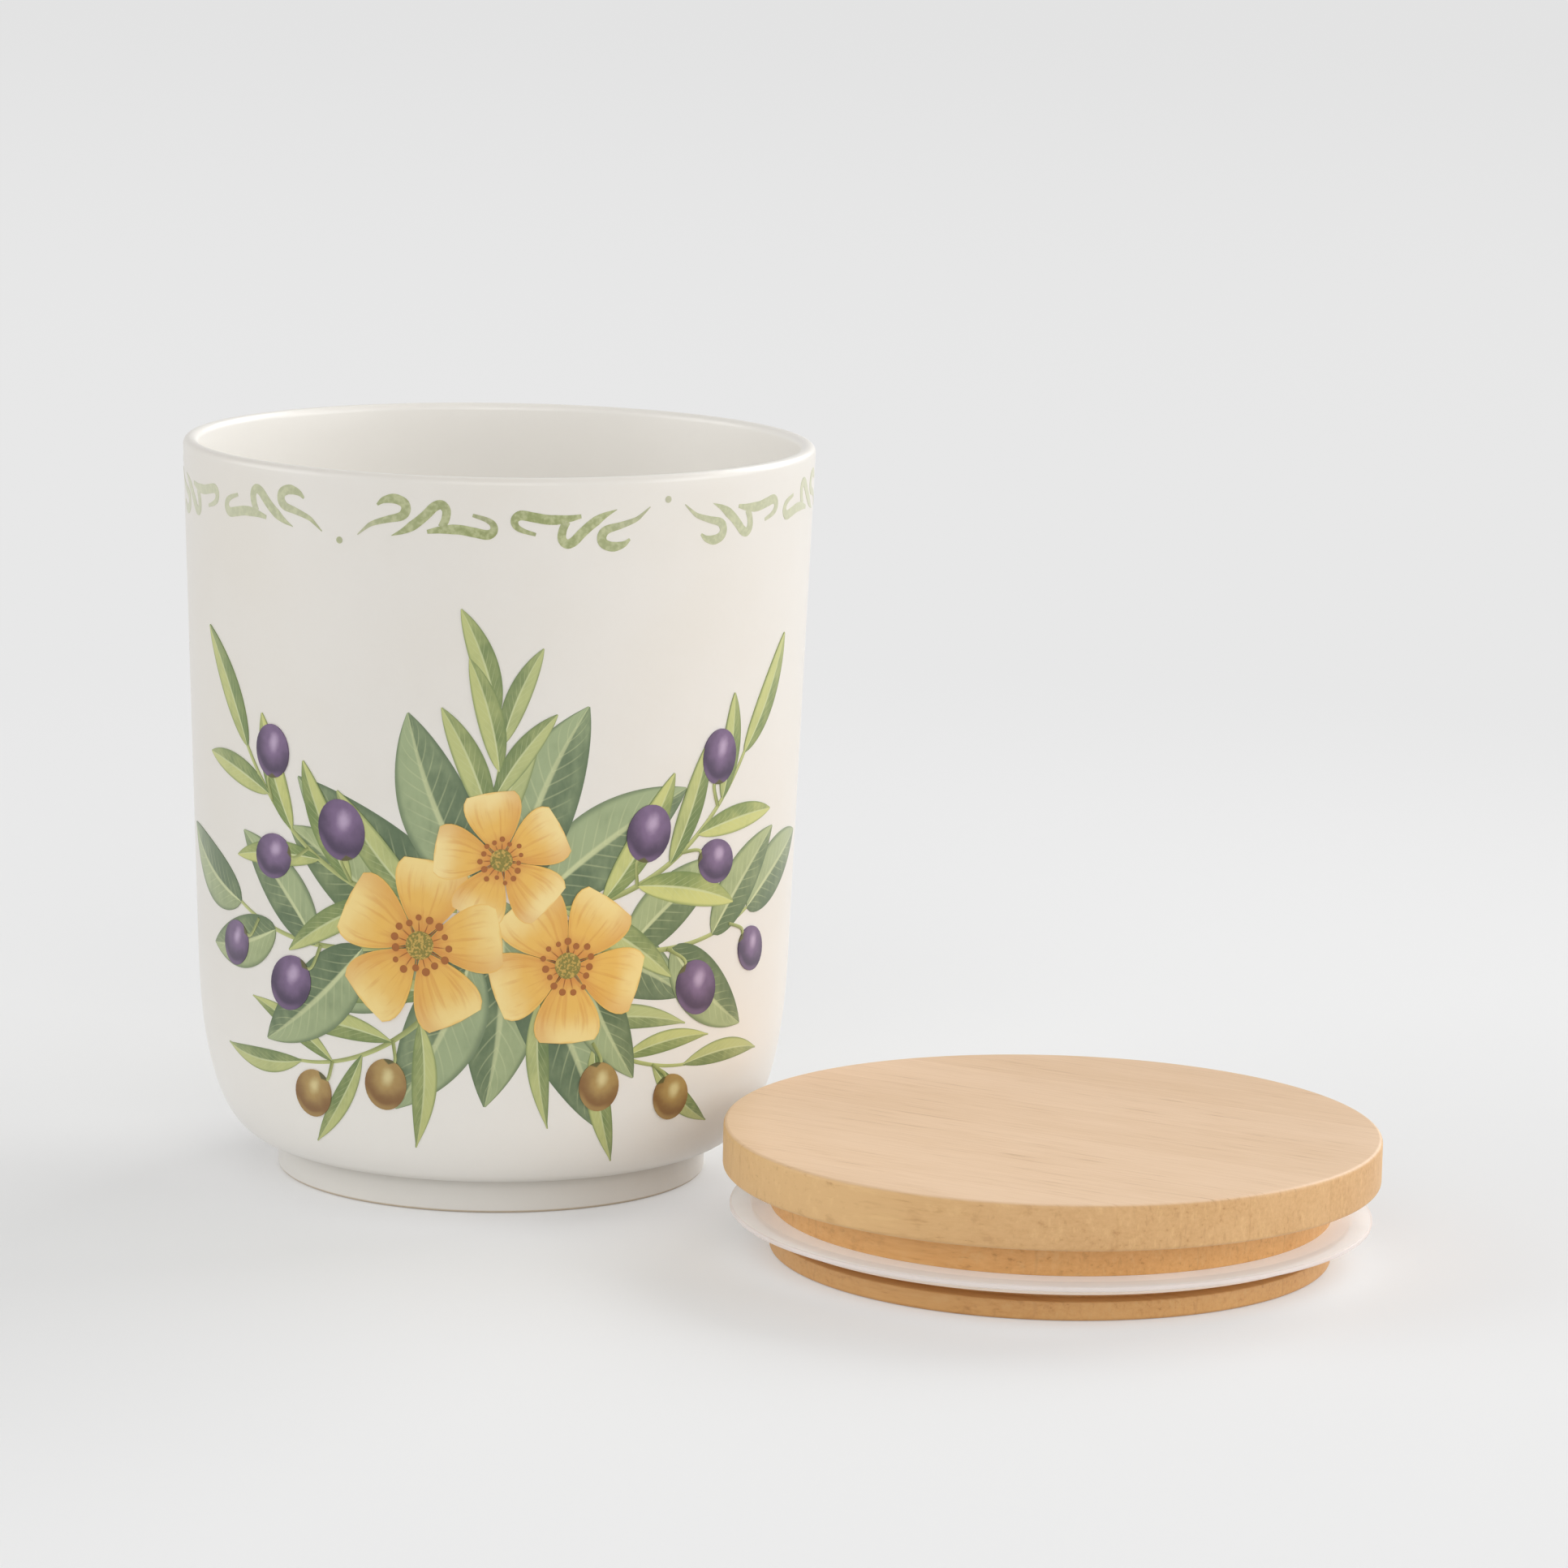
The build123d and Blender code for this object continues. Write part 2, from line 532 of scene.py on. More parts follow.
def set_out(unit, group, across, up, turn, length, layer, tint=0.0, width=1.0, other_tint=0.0):
    """A copy of a flat unit on the artwork, turned from pointing right and scaled to a length."""
    part = copy_of(unit, group, tint, other_tint)
    flat = place_of(part.data) * length
    flat[:, 1] *= width
    if width < 0:
        part.data.flip_normals()
    ahead = flat[:, 0] * cos(turn) - flat[:, 1] * sin(turn)
    aloft = flat[:, 0] * sin(turn) + flat[:, 1] * cos(turn)
    lay(part, across + ahead, up + aloft, layer)


def set_out_along(group, middle, widths, layer, tints, other_tints=0.0):
    """A strip laid along a line of points, with a half width and two tints for each of its rows."""
    part = copy_of(strip, group)
    flat = place_of(part.data)
    rows = np.linspace(0, 1, len(middle))
    heading = np.gradient(middle, axis=0)
    heading /= np.linalg.norm(heading, axis=1, keepdims=True)
    ahead, aloft = (np.interp(flat[:, 0], rows, middle[:, k]) for k in (0, 1))
    right, rise = (np.interp(flat[:, 0], rows, heading[:, k]) for k in (0, 1))
    out = 2 * flat[:, 1] * np.interp(flat[:, 0], rows, widths)
    lay(part, ahead - out * rise, aloft + out * right, layer)
    given = [np.broadcast_to(row_tints, rows.shape) for row_tints in (tints, other_tints, 0.0)]
    columns = np.stack([np.interp(flat[:, 0], rows, row_tints) for row_tints in given], 1)
    part.data.attributes["Tint"].data.foreach_set("vector", columns.ravel())


print("ten layers are", round(10 * layer_step / mm, 2), "mm thick")

# %% [markdown]
# ## The garland
#
# The design is symmetrical in its plan: a knot of three flowers, on each side one spray that rises,
# one that reaches out and one that falls, and an upright sprig on top. A spray is a curved stem with
# leaves set alternately along it, so it is one function, and a seeded random turn keeps the
# leaves from looking stamped.

# %% Sprays
chance = random.Random(11)
layers_in_turn = 4
fruit_layer = 22
petal_layer = 25
heart_layer = 31
stem_thickness = (1.1 * mm, 0.5 * mm)
stalk_thickness = (0.55 * mm, 0.45 * mm)
last_leaf = 0.97
tip_leaf = 0.985
stalk_bend = 0.35
line_points = strip_rows + 1


def varied(value, share):
    """A value changed at random by up to a share of itself."""
    return value * (1 + share * chance.uniform(-1, 1))


def on_path(path, share):
    """The place and heading at a share of a curved path, in the artwork."""
    near = bezier(path, (share - 0.01, share, share + 0.01))
    step = near[2] - near[0]
    return near[1], atan2(step[1], step[0])


def stem(group, path, thickness, layer):
    """A stem along a curved path, tapering from its first thickness to its last."""
    shares = np.linspace(0, 1, line_points)
    widths = np.linspace(thickness[0] / 2, thickness[1] / 2, line_points)
    set_out_along(group, bezier(path, shares), widths, layer, shares)


def spray(side, path, unit, count, size, spread, tint, layer, first=0.12):
    """A stem with leaves to both sides and one at its tip, from a layer up."""
    stem(side + "_stems", path, stem_thickness, layer)
    for number in range(count):
        share = first + (last_leaf - first) * number / count
        place, heading = on_path(path, share)
        hand = 1 if number % 2 else -1
        turn = heading + hand * varied(spread, 0.18) * (1 - 0.35 * share)
        length = varied(size, 0.1) * (1 - 0.3 * share)
        leaf_tint = min(max(tint + chance.uniform(-0.15, 0.15), 0), 1)
        height = layer + 1 + number % layers_in_turn
        set_out(unit, side + "_leaves", *place, turn, length, height, leaf_tint,
                width=hand * varied(1, 0.1), other_tint=chance.random())
    place, heading = on_path(path, tip_leaf)
    set_out(unit, side + "_leaves", *place, heading, 0.85 * size, layer + 1, tint,
            other_tint=chance.random())


def fruit(side, path, share, turn, reach, size, tint, stretch=0.86):
    """A berry or hip on a short stalk that leaves a stem at a share of its length."""
    start, heading = on_path(path, share)
    way = heading + turn
    ahead = np.array((cos(way), sin(way)))
    middle = start + reach * ahead
    bend = start + 0.5 * reach * np.array((cos(way + stalk_bend), sin(way + stalk_bend)))
    stalk = (start, bend, bend, middle - 0.42 * size * ahead)
    stem(side + "_stems", stalk, stalk_thickness, fruit_layer - 1)
    set_out(disc, side + "_fruit", *middle, way, size, fruit_layer, tint,
            width=stretch, other_tint=way % (2 * pi) / (2 * pi))


print("sprays are drawn from one curve each")

# %% [markdown]
# A flower is five petals that overlap round a small eye, with a ring of stamens. The petals are
# set out in turn on rising layers, as they lie on a real flower.

# %% Flowers
petal_count = 5
stamen_count = 15
petal_reach = 0.5
foot_reach = 0.035
stamen_reach = 0.155
anther_size = 0.042
eye_size = 0.17
filament_thickness = (0.16 * mm, 0.16 * mm)


def round_the_eye(count, first):
    """Turns spread evenly round the middle of a flower, each with its number."""
    return [(number, first + 2 * pi * number / count) for number in range(count)]


def flower(side, across, up, size, turn, tint):
    """A five-petalled flower, seen from the front, with every length a share of its size."""
    for number, way in round_the_eye(petal_count, turn):
        foot = foot_reach * size
        set_out(petal, side + "_petals", across + foot * cos(way), up + foot * sin(way), way,
                varied(petal_reach * size, 0.03), petal_layer + number, tint,
                width=varied(1.0, 0.05), other_tint=number / petal_count)
    for number, way in round_the_eye(stamen_count, turn + pi / stamen_count):
        far = varied(stamen_reach * size, 0.16)
        tip = np.array((across + far * cos(way), up + far * sin(way)))
        middle = np.array((across, up))
        line = (middle, middle, tip, tip)
        stem(side + "_hearts", line, filament_thickness, heart_layer)
        set_out(disc, side + "_hearts", *tip, way, varied(anther_size * size, 0.2), heart_layer + 2, 0.5)
    set_out(disc, side + "_hearts", across, up, 0.0, eye_size * size, heart_layer + 1, 0.0)


def mirrored(path):
    """A path turned over to the other side of the garland."""
    return [(-across, up) for across, up in path]


def in_mm(path):
    """A path given in millimetres, in metres."""
    return [(across * mm, up * mm) for across, up in path]


print("a flower has", petal_count, "petals and", stamen_count, "stamens")

# %% [markdown]
# The garland is set out once for the front and once for the back, with the same plan and new
# random turns. All its places are millimetres round and up the wall, from the middle line.

# %% Garland
high_arm = in_mm([(6, 52), (21, 51), (36, 59), (46, 75)])
side_arm = in_mm([(8, 48), (22, 43), (36, 43), (49, 49)])
low_arm = in_mm([(5, 42), (12, 31), (23, 25), (35, 25)])
sprig = in_mm([(0, 58), (-3, 67), (3, 75), (0, 83)])
knot_height = 50.0 * mm
collar_turns = (33, 68, 112, 147, 203, 243, 297, 337)
flowers = ((1, 60, 21, 100, 0.8), (-12, 46, 27, 80, 0.35), (12, 43, 25, 55, 0.5))


def arm_of(side, path, unit, count, size, spread, tint, layer, berries, berry_tint):
    """One arm on each side of the middle line, with fruit given as share, turn, reach and size."""
    for hand, arm in ((1, path), (-1, mirrored(path))):
        spray(side, arm, unit, count, size * mm, spread, tint, layer)
        for share, turn, reach, width in berries:
            fruit(side, arm, share, hand * turn, reach * mm, varied(width, 0.05) * mm, berry_tint)


def collar(side):
    """Broad leaves that fan out behind the flowers."""
    for layer, turn in zip(cycle((1, 2, 3)), map(radians, collar_turns)):
        foot = knot_height * np.array((0.16 * cos(turn), 1 + 0.12 * sin(turn)))
        set_out(broad_leaf, side + "_leaves", *foot, turn, varied(31, 0.08) * mm,
                layer, 0.08, width=varied(1, 0.1), other_tint=chance.random())


def garland(side):
    """Everything printed on one side of the jar."""
    collar(side)
    set_out(broad_leaf, side + "_leaves", 0.5 * mm, 54 * mm, radians(267), 34 * mm, 0, 0.15)
    arm_of(side, high_arm, narrow_leaf, count=6, size=25, spread=0.75, tint=0.75, layer=14,
           berries=((0.40, 0.95, 8.5, 9.4), (0.60, -0.9, 8.0, 8.6), (0.80, 0.75, 8.0, 8.8)),
           berry_tint=0.0)
    arm_of(side, side_arm, broad_leaf, count=4, size=27, spread=0.8, tint=0.2, layer=9,
           berries=((0.52, -0.85, 9.5, 9.2), (0.86, -0.95, 8.5, 8.4)), berry_tint=0.0)
    arm_of(side, low_arm, long_leaf, count=5, size=24, spread=0.75, tint=0.6, layer=4,
           berries=((0.45, -0.8, 7.5, 8.6), (0.80, -0.7, 7.5, 8.2)), berry_tint=1.0)
    spray(side, sprig, narrow_leaf, count=5, size=21 * mm, spread=0.6, tint=0.6, layer=9)
    for across, up, size, turn, tint in flowers:
        flower(side, across * mm, up * mm, size * mm, radians(turn), tint)


garland("front")
garland("back")
print({group: len(parts) for group, parts in drawn.items()})

# %% [markdown]
# ## The scroll border
#
# Below the rim runs a traditional border of C-scrolls and leaf strokes, three repeats to a turn.
# One scroll is drawn as three tapering strokes. Turned end over end it makes the next scroll, and
# the pair mirrored makes the second half of the repeat, with a dot at each mirror line.

# %% Scroll strokes
stroke_half_width = 0.76 * mm
dot_size = 1.1 * mm
border_layer = 3
border_radius = 51.0 * mm
repeats = 3
repeat_length = 2 * pi * border_radius / repeats / mm
first_pair = 1.5
scroll_middle_height = 112.75
low_dot = (-26.7, 109.2)
high_dot = (26.7, 116.2)
curl = [(-20.1, 115.2), (-19.0, 116.0), (-17.2, 116.3), (-15.7, 115.7), (-15.4, 114.6),
        (-16.2, 113.6), (-18.5, 113.0), (-21.0, 112.2), (-22.3, 111.3), (-23.5, 110.3)]
leaf_stroke = [(-17.8, 110.5), (-15.7, 111.4), (-13.7, 112.7), (-12.1, 114.1), (-10.9, 115.3),
               (-9.8, 115.7), (-9.0, 114.9), (-9.1, 113.5), (-9.7, 112.2)]
bar = [(-12.0, 111.4), (-9.7, 111.8), (-7.0, 111.9), (-4.5, 111.5), (-2.5, 111.2),
       (-1.6, 111.9), (-1.8, 112.9), (-2.9, 113.6), (-4.9, 114.2)]
strokes = ((curl, 0.25, 0.1), (leaf_stroke, 0.05, 0.8), (bar, 0.4, 0.35))
swelling_part = 0.2
thinning_part = 0.5
fresh_tint = 0.1
worn_tint = 0.9


def smooth_line(points):
    """A smooth line through a few points, as rows of numbers."""
    points = np.array(points, float)
    padded = np.vstack([2 * points[0] - points[1], points, 2 * points[-1] - points[-2]])
    line = []
    for share in np.linspace(0, len(points) - 1, line_points):
        start = min(int(share), len(points) - 2)
        before, first, second, after = padded[start : start + 4]
        part = share - start
        lean = second - before
        curve = 2 * before - 5 * first + 4 * second - after
        twist = 3 * (first - second) + after - before
        line.append(first + 0.5 * part * (lean + part * (curve + part * twist)))
    return np.array(line)


def stroke_widths(head, tail):
    """Half widths that swell from a head's share to full and run out to a tail's share."""
    share = np.linspace(0, 1, line_points)
    swell = np.minimum(1, head + (1 - head) * share / swelling_part)
    fade = np.minimum(1, tail + (1 - tail) * (1 - share) / thinning_part)
    return stroke_half_width * swell * fade


def towards_sides(across):
    """How far a place round the rim is from the front or the back: 0 there, 1 at the jar's sides."""
    quarter = pi * border_radius / mm / 2
    return np.abs((across - first_pair + quarter) % (2 * quarter) - quarter) / quarter


def scroll(start, mirror, over):
    """One scroll about a place round the rim: as drawn, mirrored, or turned end over end."""
    for points, head, tail in strokes:
        line = smooth_line(points)
        if over:
            line = np.array((0, 2 * scroll_middle_height)) - line
        line[:, 0] = start + mirror * line[:, 0]
        tints = np.linspace(fresh_tint, worn_tint, len(line))
        # How far each point lies towards the jar's sides, where the ink gets its painted sheen.
        painted_sheen_shares = towards_sides(line[:, 0])
        set_out_along("border_scrolls", line * mm, stroke_widths(head, tail), border_layer, tints, painted_sheen_shares)


for number in range(repeats):
    pair = first_pair + number * repeat_length
    for start, mirror in ((pair, 1), (pair + repeat_length / 2, -1)):
        scroll(start, mirror, over=False)
        scroll(start, mirror, over=True)
    for across, up in (low_dot, high_dot):
        set_out(disc, "border_scrolls", (pair + across) * mm, up * mm, 0.0, dot_size, border_layer,
                worn_tint, other_tint=towards_sides(pair + across))
print("strokes and dots in the border:", len(drawn["border_scrolls"]))

# %% [markdown]
# ## Wrapping the print on the wall
#
# The sheet is wrapped as the film is: a length across the sheet becomes an angle round the jar,
# and every point stands at the radius that the wall has at its height, plus its layer. That is
# one formula, so it is done on the vertices in code. Solidify then gives the film a body whose
# back lies inside the glaze.

# %% Wrap
film_depth = 0.4 * mm
front_turn = radians(0.8)


def wrapped(name, group, turn, sheet_radius):
    """A group of flat parts joined into one piece and wrapped on the jar's wall."""
    bpy.ops.object.select_all(action="DESELECT")
    for part in drawn[group]:
        part.select_set(True)
    bpy.context.view_layer.objects.active = drawn[group][0]
    bpy.ops.object.join()
    piece = bpy.context.object
    piece.name = name
    flat = place_of(piece.data)
    angle = flat[:, 0] / sheet_radius + turn
    radius = wall_radius(flat[:, 2]) - flat[:, 1]
    set_place(piece.data, np.stack([radius * np.sin(angle), -radius * np.cos(angle), flat[:, 2]], 1))
    body = piece.modifiers.new("Film", "SOLIDIFY")
    body.thickness = film_depth
    body.offset = -1
    bpy.ops.object.modifier_apply(modifier=body.name)
    bpy.ops.object.shade_smooth_by_angle(angle=crisp_edge)
    print(name, "has", len(piece.data.polygons), "faces")
    return piece


prints = {}
for side, turn in (("front", front_turn), ("back", front_turn + pi)):
    for kind in ("stems", "leaves", "petals", "hearts", "fruit"):
        name = f"print_{side}_{kind}"
        prints[name] = wrapped(name, f"{side}_{kind}", turn, print_radius)
prints["print_border"] = wrapped("print_border", "border_scrolls", 0.0, border_radius)
for unit in (broad_leaf, narrow_leaf, long_leaf, petal, disc, strip):
    bpy.data.objects.remove(unit)

# %% [markdown]
# ## Writing shaders as sums
#
# A node tree for a natural surface is mostly arithmetic on a few noises. One class wraps a socket
# so that arithmetic on it adds the nodes, and one class holds a tree and adds every other node.
# A painted surface is a colour with coats over it, each with its own share.

# %% Values and node trees
class Value:
    """A number, colour or vector worked out by nodes."""

    def __init__(self, nodes, socket):
        self.nodes = nodes
        self.socket = socket

    def maths(self, operation, *others):
        """A Math node on this value and others."""
        terms = dict(enumerate((self, *others)))
        return self.nodes.node("ShaderNodeMath", {"operation": operation}, terms)

    def part(self, name):
        """Another output of the same node."""
        return Value(self.nodes, self.socket.node.outputs[name])

    def __rsub__(self, other):
        return self.nodes.node("ShaderNodeMath", {"operation": "SUBTRACT"}, {0: other, 1: self})

    __add__ = __radd__ = partialmethod(maths, "ADD")
    __sub__ = partialmethod(maths, "SUBTRACT")
    __mul__ = __rmul__ = partialmethod(maths, "MULTIPLY")
    __pow__ = partialmethod(maths, "POWER")


class Nodes:
    """A node tree, with one method that adds any node and short ones for those used most."""

    def __init__(self, tree):
        self.tree = tree

    def node(self, kind, settings, inputs, output=0):
        """Any node: its settings are made first, then its sockets are filled or linked."""
        made = self.tree.nodes.new(kind)
        for name, value in settings.items():
            setattr(made, name, value)
        for name, value in inputs.items():
            if isinstance(value, Value):
                self.tree.links.new(value.socket, made.inputs[name])
            else:
                made.inputs[name].default_value = value
        return Value(self, made.outputs[output])

    def mix(self, first, second, share):
        """From the first colour to the second by a share."""
        return self.node("ShaderNodeMix", {"data_type": "RGBA"}, {0: share, 6: first, 7: second}, 2)

    def coats(self, colour, *coats):
        """A colour under others, each given with the share of it that covers."""
        for over, share in coats:
            colour = self.mix(colour, over, share)
        return colour

    def step(self, value, low, high):
        """0 below low, 1 above high, and smooth between them."""
        settings = {"interpolation_type": "SMOOTHSTEP"}
        return self.node("ShaderNodeMapRange", settings, {0: value, 1: low, 2: high})

    def noise(self, place, scale, detail=2.0, roughness=0.5):
        """Smooth noise from 0 to 1 over a place."""
        inputs = {"Vector": place, "Scale": scale, "Detail": detail, "Roughness": roughness}
        return self.node("ShaderNodeTexNoise", {}, inputs)

    def axes(self, vector):
        """The three numbers of a vector."""
        split = self.node("ShaderNodeSeparateXYZ", {}, {0: vector})
        return split, split.part("Y"), split.part("Z")

    def length(self, vector):
        """How long a vector is."""
        return self.node("ShaderNodeVectorMath", {"operation": "LENGTH"}, {0: vector}, "Value")

    def place(self, turn=0.0, stretch=(1.0, 1.0, 1.0), centre=(0.0, 0.0)):
        """The place in millimetres, from a centre, turned about the upright axis and stretched."""
        start = self.node("ShaderNodeTexCoord", {}, {}, "Object")
        moved = self.node("ShaderNodeVectorMath", {"operation": "SUBTRACT"}, {0: start, 1: (*centre, 0)})
        about = {"Vector": moved, "Rotation": (0, 0, -turn), "Scale": (1 / mm,) * 3}
        in_mm = self.node("ShaderNodeMapping", {"vector_type": "POINT"}, about)
        return self.node("ShaderNodeVectorMath", {"operation": "MULTIPLY"}, {0: in_mm, 1: stretch})


print("arithmetic on a wrapped socket adds Math nodes")

# %% [markdown]
# A finish is such a tree that ends in one Principled shader. What is the same all over is set on
# the shader's own sockets when the finish is made, what varies is put on a socket, and relief is
# a chain of Bump nodes. Colours are written as the 0 to 255 values one reads off a screen.

# %% Finishes
class Finish(Nodes):
    """A material that ends in one Principled shader, with the shader's constants set on it."""

    def __init__(self, name, constants):
        self.material = bpy.data.materials.new(name)
        self.material.use_nodes = True
        super().__init__(self.material.node_tree)
        self.shader = self.tree.nodes["Principled BSDF"]
        for socket, value in constants.items():
            self.shader.inputs[socket].default_value = value

    def put(self, socket, value):
        """Feed a value to the Principled shader."""
        self.tree.links.new(value.socket, self.shader.inputs[socket])

    def painted(self, colour, *coats):
        """The material, once its base colour has its coats."""
        self.put("Base Color", self.coats(colour, *coats))
        return self.material

    def bump(self, *heights):
        """Relief from pairs of a value from 0 to 1 and its height in millimetres."""
        normal = {}
        for value, height in heights:
            inputs = {"Height": value, "Distance": height * mm, "Strength": 1.0} | normal
            normal = {"Normal": self.node("ShaderNodeBump", {}, inputs)}
        self.put("Normal", normal["Normal"])


def shade(red, green, blue):
    """A screen colour as the light values that Blender's sockets hold."""
    parts = [part / 255 for part in (red, green, blue)]
    linear = [part / 12.92 if part <= 0.04045 else ((part + 0.055) / 1.055) ** 2.4 for part in parts]
    return (*linear, 1.0)


print("mid grey on a socket:", round(shade(128, 128, 128)[0], 3))

# %% [markdown]
# ## Glaze
#
# A cream glaze is never one colour. It is a shade warmer where it runs thin over the lip, and it
# clouds a little over the wall. Low on the wall and inside the jar it is painted whiter: painted
# light for the heel, which faces down, and for the hollow, which the lamps reach less. Over the
# foot it is painted greyer, partly where the glaze pools in the corner and partly as painted shade
# under the heel. The surface has the faint waviness of orange peel. Under the foot ring the glaze
# is wiped off before firing, so a ring of bare, matt ceramic is left.

# %% Glaze
gloss = {"IOR": 1.5, "Coat Weight": 0.12, "Coat Roughness": 0.16}
glaze_pale = shade(231, 227, 220)
glaze_warm = shade(226, 220, 209)
glaze_painted_white = shade(246, 243, 237)
glaze_thin = shade(217, 205, 186)
glaze_pool_and_shade = shade(204, 200, 192)
bare_ceramic = shade(206, 190, 166)
painted_light_heights = (8.0, 46.0)
lip_heights = (jar_height / mm - 1.0, jar_height / mm)
foot_corner_heights = (3.6, 5.3)
pool_end_heights = (5.5, 7.5)
bare_heights = (0.25, 0.55)


def glaze():
    """Cream glaze with a bare foot ring."""
    finish = Finish("cream_glaze", gloss)
    place = finish.place()
    height = finish.axes(place)[2]
    cloud = finish.noise(place, 0.035, 3.0)
    grain = finish.noise(place, 1.3)
    peel = finish.noise(place, 0.16, 1.5)
    clouded = 0.5 * finish.step(cloud + 0.12 * grain, 0.35, 0.8)
    # Painted light: the inside and the low wall are painted whiter.
    inside = finish.node("ShaderNodeAttribute", {"attribute_name": "Inside"}, {}, "Fac")
    painted_light = inside.maths("MAXIMUM", 0.68 * (1 - finish.step(height, *painted_light_heights)))
    thin = finish.step(height, *lip_heights) * 0.14
    # Partly glaze that pools over the foot, partly painted shade under the heel.
    pool_and_shade = 0.33 + 0.27 * finish.step(height, *foot_corner_heights)
    pool_and_shade = pool_and_shade * (1 - finish.step(height, *pool_end_heights))
    bare = 1 - finish.step(height, *bare_heights)
    finish.put("Roughness", 0.29 + 0.07 * cloud + 0.45 * bare)
    finish.bump((peel, 0.05), (grain, 0.003))
    return finish.painted(glaze_pale, (glaze_warm, clouded), (glaze_painted_white, painted_light),
                          (glaze_thin, thin), (glaze_pool_and_shade, pool_and_shade), (bare_ceramic, bare))


jar.data.materials.append(glaze())
print("glaze is on the jar")

# %% [markdown]
# ## Ceramic inks
#
# Transfer inks sink into the glaze and take its gloss. The shapes carry the drawing, and the
# shaders do the painting: a leaf has a midrib, fine side veins, a lighter and a darker half and
# a thin dark edge, all worked out from how far along and across the leaf a point is.

# %% Leaf ink
pale_vein = shade(204, 210, 160)
sage = (shade(84, 104, 78), shade(154, 170, 132))
lime = (shade(122, 142, 78), shade(208, 208, 126))
side_veins = 12
vein_slant = 0.2
rib_line = (0.40, 0.48)
midrib_line = (0.035, 0.11)
leaf_edge = (0.78, 1.0)


def ink(name):
    """A new ink, with its share along and across each shape, and the shape's two tints."""
    finish = Finish(name, gloss | {"Roughness": 0.34})
    along, across, _ = finish.axes(finish.node("ShaderNodeUVMap", {"uv_map": "Share"}, {}))
    tints = finish.node("ShaderNodeAttribute", {"attribute_name": "Tint"}, {}, "Vector")
    tint, other_tint, _ = finish.axes(tints)
    return finish, along, across, tint, other_tint


def leaf_ink():
    """Watercolour green for leaves, from sage to lime by their tint."""
    finish, along, across, tint, other = ink("leaf_ink")
    side = 2 * across - 1
    off_middle = side.maths("ABSOLUTE")
    wash = finish.noise(finish.place(), 0.22, 3.0)
    streak = finish.noise(finish.place(stretch=(1.0, 1.0, 0.4)), 1.1)
    half = finish.step(side, -0.12, 0.12)
    tone = 0.36 * half + 0.5 * wash + 0.22 * streak + 0.18 * along + 0.12 * other
    tone = finish.step(tone, 0.32, 0.98)
    dark, light = (finish.mix(low, high, tint) for low, high in zip(sage, lime))
    ribs = (side_veins * (along - vein_slant * off_middle)).maths("PINGPONG", 0.5)
    vein = finish.step(ribs, *rib_line) * (1 - finish.step(off_middle, 0.35, 0.95))
    edge = finish.step(off_middle, *leaf_edge)
    midrib = 1 - finish.step(off_middle, *midrib_line)
    return finish.painted(dark, (light, tone), (pale_vein, vein * 0.3), (dark, edge * 0.65),
                          (pale_vein, midrib * (1 - 0.6 * along)))


leaf_finish = leaf_ink()
print("leaf ink has", len(leaf_finish.node_tree.nodes), "nodes")

# %% [markdown]
# Petals run from deep orange at the foot to pale yellow, with fine lines that fan out from the
# foot and a shadow along the side that tucks under the next petal. The hearts and stems are
# small, so they have one gradient each.

# %% Petal, heart and stem inks
petal_foot = shade(210, 138, 62)
petal_middle = shade(232, 184, 90)
petal_end = shade(240, 210, 130)
petal_paler = shade(244, 222, 158)
heart_green = shade(134, 124, 52)
anther_brown = shade(164, 98, 40)
filament_gold = shade(232, 186, 96)
stem_low = shade(128, 138, 78)
stem_high = shade(188, 194, 128)
petal_line_spread = (1.1, 9, 7)


def petal_ink():
    """Yellow petals with an orange foot."""
    finish, along, across, tint, other = ink("petal_ink")
    side = 2 * across - 1
    wash = finish.noise(finish.place(), 0.3, 3.0)
    spread = zip(petal_line_spread, (along, across, other))
    fan = finish.node("ShaderNodeCombineXYZ", {}, dict(enumerate(k * share for k, share in spread)))
    line = finish.noise(fan, 1.6)
    middle = finish.step(along + 0.25 * wash, 0.14, 0.52)
    far = finish.step(along + 0.3 * (wash - 0.5), 0.42, 0.92)
    lines = finish.step(line, 0.5, 0.68) * (1 - finish.step(along, 0.55, 0.95))
    under = finish.step(side, -0.15, -1.0)
    edge = finish.step(side.maths("ABSOLUTE").maths("MAXIMUM", along), 0.93, 1.0)
    return finish.painted(petal_foot, (petal_middle, middle),
                          (finish.mix(petal_end, petal_paler, tint), far), (petal_foot, lines * 0.4),
                          (petal_foot, under * 0.42), (petal_middle, edge * 0.7))


def heart_ink():
    """The eye, anthers and filaments of a flower, by their tint."""
    finish, _, _, tint, _ = ink("heart_ink")
    grain = finish.noise(finish.place(), 2.4, 1.0)
    speck = finish.step(grain, 0.45, 0.6) * (1 - finish.step(tint, 0.1, 0.3))
    return finish.painted(heart_green, (anther_brown, finish.step(tint, 0.1, 0.4)),
                          (filament_gold, finish.step(tint, 0.6, 0.9)), (filament_gold, speck * 0.55))


def stem_ink():
    """Pale green stems, lighter towards the tip and on one side."""
    finish, _, across, tint, _ = ink("stem_ink")
    wash = finish.noise(finish.place(), 0.35)
    tone = 0.45 * tint + 0.45 * across + 0.35 * (wash - 0.5)
    return finish.painted(stem_low, (stem_high, finish.step(tone, 0.0, 0.85)))


print("petals, hearts and stems have their inks")

# %% [markdown]
# A round fruit is painted as a ball: a pale spot towards the light, a dark rim and a weak glow on
# the far side. The disc's own X axis points along its stalk, so the light's direction is turned
# back by that angle, which each fruit carries as its second tint.

